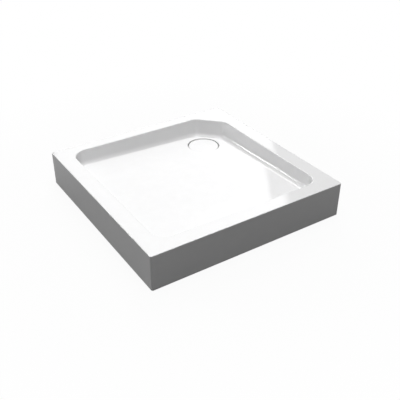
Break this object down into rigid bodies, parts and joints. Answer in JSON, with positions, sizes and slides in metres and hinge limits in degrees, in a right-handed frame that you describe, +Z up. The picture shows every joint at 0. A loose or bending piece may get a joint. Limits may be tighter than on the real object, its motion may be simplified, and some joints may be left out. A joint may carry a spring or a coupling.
{
  "type": "shower tray",
  "caption": "Square raised acrylic shower tray with a skirt on the open sides, a bowl falling to a cut corner, a flush round waste, a low trap and adjustable feet.",
  "frame": {"origin": "centre of the footprint, on the floor that the foot pads stand on", "axes": "+Z up; the skirted open sides face -X and -Y, the wall sides face +X and +Y"},
  "size_m": [0.8, 0.8, 0.138],
  "materials": {
    "acrylic_white": "high gloss white sanitary acrylic",
    "cover_white": "gloss white moulded disc",
    "grp": "rolled glass-fibre laminate, translucent straw colour",
    "chipboard": "raw pressed chipboard",
    "timber": "sawn softwood",
    "zinc_steel": "bright zinc plate",
    "strainer_steel": "stainless, satin",
    "chrome": "polished chrome plate",
    "black_plastic": "moulded black polypropylene",
    "trap_plastic": "moulded white polypropylene",
    "rubber": "soft black rubber"
  },
  "bodies": {
    "tray": {"tray_shell": "acrylic_white", "grp_backing": "grp", "baseboard": "chipboard", "batten_left": "timber", "batten_right": "timber", "batten_front": "timber", "batten_back": "timber", "bracket_screws": "zinc_steel", "lock_nuts": "zinc_steel", "waste_flange": "chrome", "upper_seal": "rubber", "lower_seal": "rubber", "leg_bracket_1": "black_plastic", "leg_bracket_2": "black_plastic", "leg_bracket_3": "black_plastic", "leg_bracket_4": "black_plastic", "leg_bracket_5": "black_plastic", "leg_bracket_6": "black_plastic"},
    "trap": {"trap_body": "trap_plastic"},
    "insert": {"insert_tube": "trap_plastic", "insert_oring": "rubber"},
    "strainer": {"hair_strainer": "strainer_steel"},
    "cover": {"waste_cover": "cover_white"},
    "foot_1": {"foot_pad_1": "black_plastic"},
    "stem_1": {"leg_stem_1": "zinc_steel"},
    "foot_2": {"foot_pad_2": "black_plastic"},
    "stem_2": {"leg_stem_2": "zinc_steel"},
    "foot_3": {"foot_pad_3": "black_plastic"},
    "stem_3": {"leg_stem_3": "zinc_steel"},
    "foot_4": {"foot_pad_4": "black_plastic"},
    "stem_4": {"leg_stem_4": "zinc_steel"},
    "foot_5": {"foot_pad_5": "black_plastic"},
    "stem_5": {"leg_stem_5": "zinc_steel"},
    "foot_6": {"foot_pad_6": "black_plastic"},
    "stem_6": {"leg_stem_6": "zinc_steel"}
  },
  "joints": [
    {"name": "trap_turn", "type": "hinge", "parent": "tray", "child": "trap", "pos_m": [0.211, 0.23, 0.04732], "axis": [0, 0, 1], "range_deg": [-25, 25]},
    {"name": "insert_lift", "type": "slide", "parent": "tray", "child": "insert", "axis": [0, 0, 1], "range_m": [0, 0.13]},
    {"name": "strainer_lift", "type": "slide", "parent": "insert", "child": "strainer", "axis": [0, 0, 1], "range_m": [0, 0.09]},
    {"name": "cover_lift", "type": "slide", "parent": "strainer", "child": "cover", "axis": [0, 0, 1], "range_m": [0, 0.085]},
    {"name": "foot_1_height", "type": "slide", "parent": "tray", "child": "foot_1", "axis": [0, 0, -1], "range_m": [-0.0075, 0.012]},
    {"name": "stem_1_turn", "type": "hinge", "parent": "foot_1", "child": "stem_1", "pos_m": [-0.2505, -0.256, 0.02], "axis": [0, 0, -1], "range_deg": [-1810, 2890]},
    {"name": "foot_2_height", "type": "slide", "parent": "tray", "child": "foot_2", "axis": [0, 0, -1], "range_m": [-0.0075, 0.012]},
    {"name": "stem_2_turn", "type": "hinge", "parent": "foot_2", "child": "stem_2", "pos_m": [0.254, -0.256, 0.02], "axis": [0, 0, -1], "range_deg": [-1810, 2890]},
    {"name": "foot_3_height", "type": "slide", "parent": "tray", "child": "foot_3", "axis": [0, 0, -1], "range_m": [-0.0075, 0.012]},
    {"name": "stem_3_turn", "type": "hinge", "parent": "foot_3", "child": "stem_3", "pos_m": [-0.2505, 0.264, 0.02], "axis": [0, 0, -1], "range_deg": [-1810, 2890]},
    {"name": "foot_4_height", "type": "slide", "parent": "tray", "child": "foot_4", "axis": [0, 0, -1], "range_m": [-0.0075, 0.012]},
    {"name": "stem_4_turn", "type": "hinge", "parent": "foot_4", "child": "stem_4", "pos_m": [0.254, 0.08, 0.02], "axis": [0, 0, -1], "range_deg": [-1810, 2890]},
    {"name": "foot_5_height", "type": "slide", "parent": "tray", "child": "foot_5", "axis": [0, 0, -1], "range_m": [-0.0075, 0.012]},
    {"name": "stem_5_turn", "type": "hinge", "parent": "foot_5", "child": "stem_5", "pos_m": [0.061, 0.264, 0.02], "axis": [0, 0, -1], "range_deg": [-1810, 2890]},
    {"name": "foot_6_height", "type": "slide", "parent": "tray", "child": "foot_6", "axis": [0, 0, -1], "range_m": [-0.0075, 0.012]},
    {"name": "stem_6_turn", "type": "hinge", "parent": "foot_6", "child": "stem_6", "pos_m": [0.00175, 0.004, 0.02], "axis": [0, 0, -1], "range_deg": [-1810, 2890]}
  ],
  "couplings": [
    {"joint": "stem_1_turn", "follows": "foot_1_height", "rad_per_m": 4188.8},
    {"joint": "stem_2_turn", "follows": "foot_2_height", "rad_per_m": 4188.8},
    {"joint": "stem_3_turn", "follows": "foot_3_height", "rad_per_m": 4188.8},
    {"joint": "stem_4_turn", "follows": "foot_4_height", "rad_per_m": 4188.8},
    {"joint": "stem_5_turn", "follows": "foot_5_height", "rad_per_m": 4188.8},
    {"joint": "stem_6_turn", "follows": "foot_6_height", "rad_per_m": 4188.8}
  ]
}
